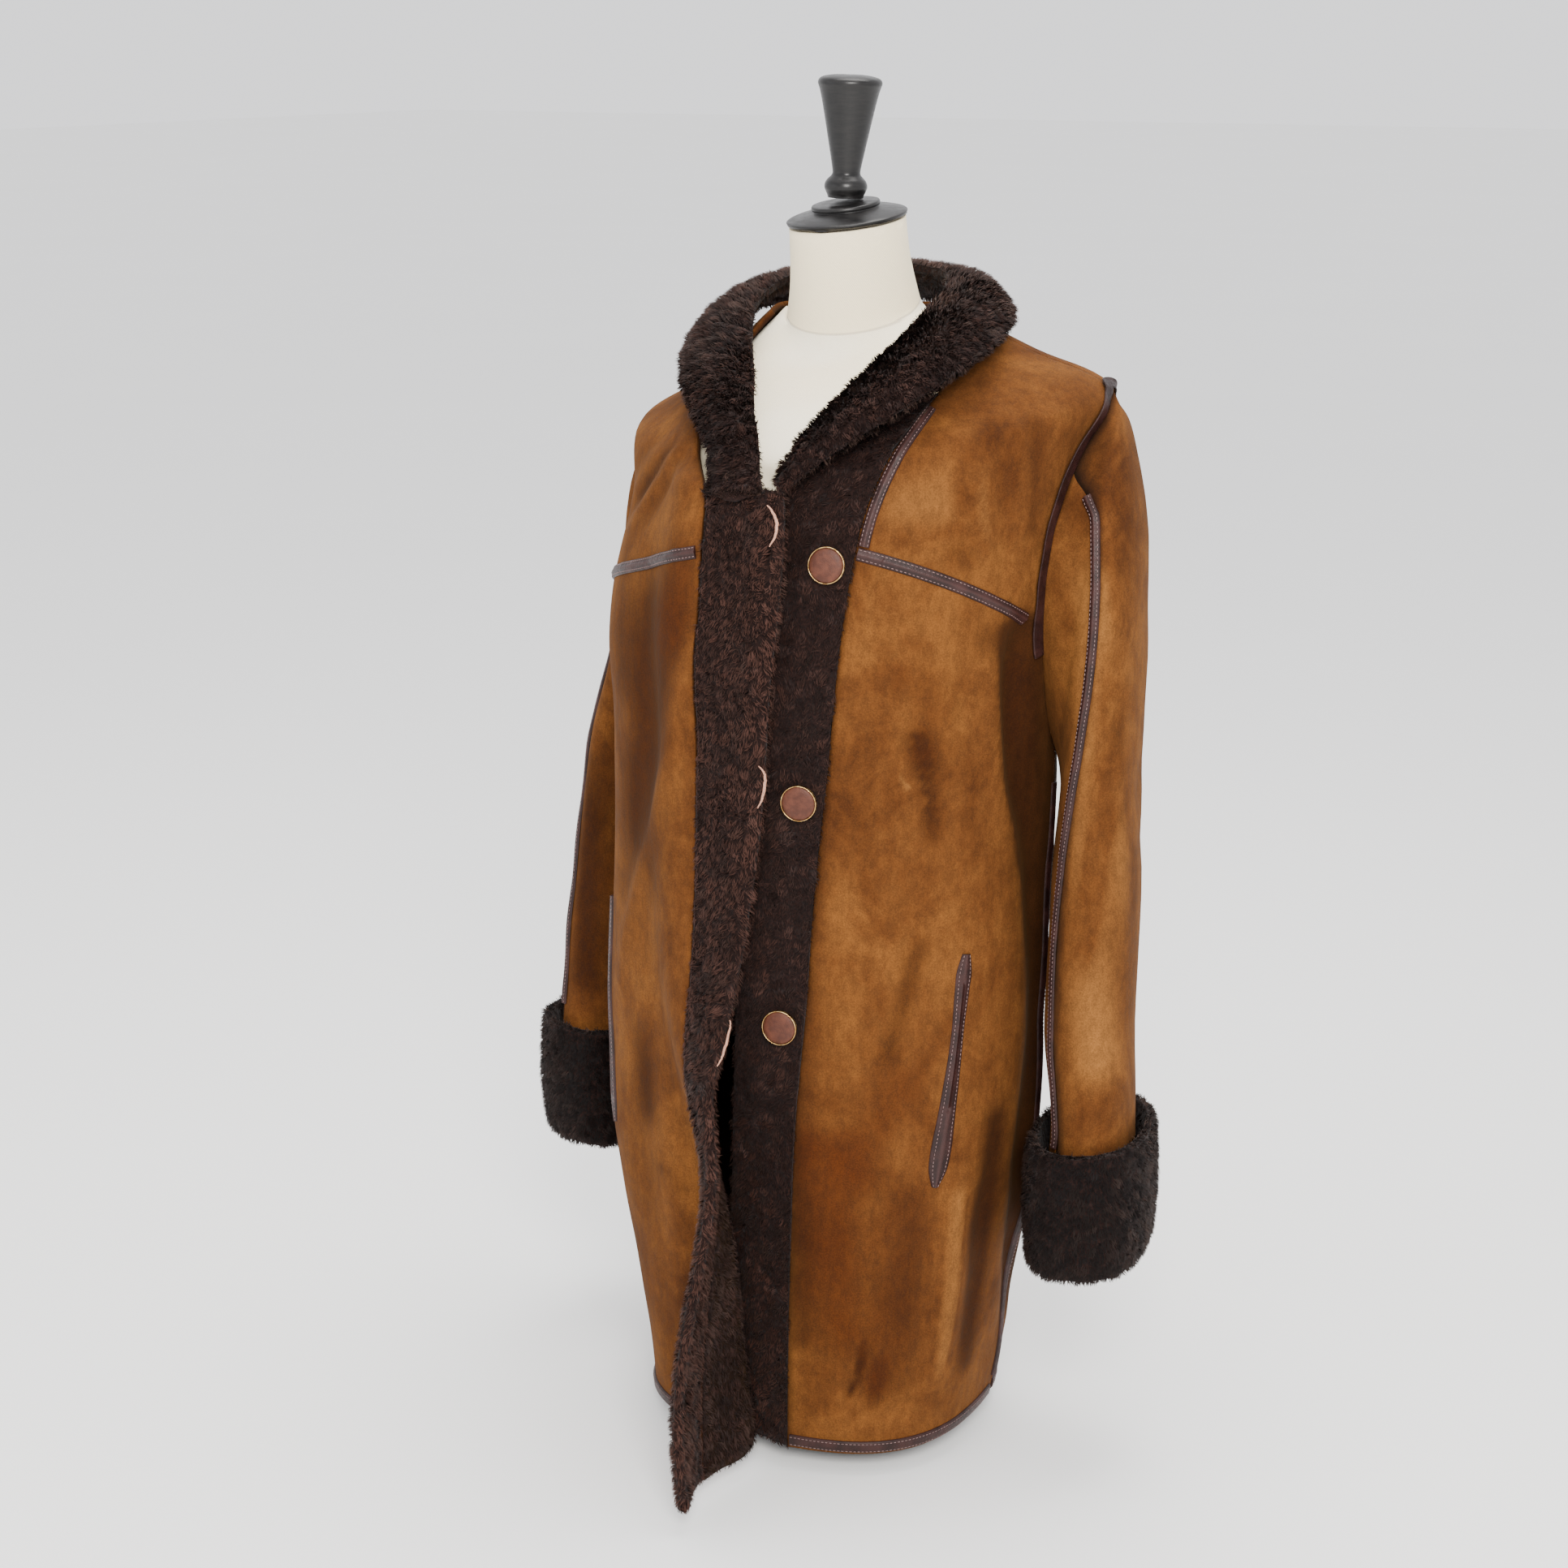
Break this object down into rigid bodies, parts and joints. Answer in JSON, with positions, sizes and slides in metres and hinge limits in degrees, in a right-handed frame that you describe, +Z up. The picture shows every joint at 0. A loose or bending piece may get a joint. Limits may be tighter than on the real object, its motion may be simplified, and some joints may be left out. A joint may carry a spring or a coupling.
{
  "type": "shearling coat on a limbless dress form",
  "caption": "Thigh-length suede coat with fur shawl collar, front bands and turned-back cuffs, half buttoned over a limbless dress form with a turned neck cap, pole and round base.",
  "frame": {"origin": "centre of the stand base's underside", "axes": "+Z up, the coat's front towards -Y, +X towards the wearer's left"},
  "size_m": [0.5559, 0.4055, 1.0406],
  "materials": {
    "suede": "tan suede with a soft nap",
    "fur": "dark brown curly fur",
    "leather": "brown smooth leather",
    "form": "cream cloth over a firm form",
    "black": "satin black paint on turned wood",
    "gold": "polished",
    "steel": "dark grey"
  },
  "bodies": {
    "root": {"back": "suede", "back_hem_binding": "leather", "button_1": "leather", "button_2": "leather", "button_3": "leather", "button_rim_1": "gold", "button_rim_2": "gold", "button_rim_3": "gold", "collar": "fur", "form_base": "steel", "form_body": "form", "form_cap": "black", "form_finial": "black", "form_pole": "steel", "left_armhole_binding": "leather", "left_band": "fur", "left_cuff": "fur", "left_edge_binding": "leather", "left_front": "suede", "left_hem_binding": "leather", "left_pocket_welt": "leather", "left_side_binding": "leather", "left_sleeve_binding_back": "leather", "left_sleeve_binding_front": "leather", "left_top_sleeve": "suede", "left_under_sleeve": "suede", "left_yoke": "suede", "left_yoke_binding": "leather", "right_armhole_binding": "leather", "right_band": "fur", "right_cuff": "fur", "right_front": "suede", "right_hem_binding": "leather", "right_pocket_welt": "leather", "right_side_binding": "leather", "right_sleeve_binding_back": "leather", "right_sleeve_binding_front": "leather", "right_top_sleeve": "suede", "right_under_sleeve": "suede", "right_yoke": "suede", "right_yoke_binding": "leather"}
  },
  "joints": []
}
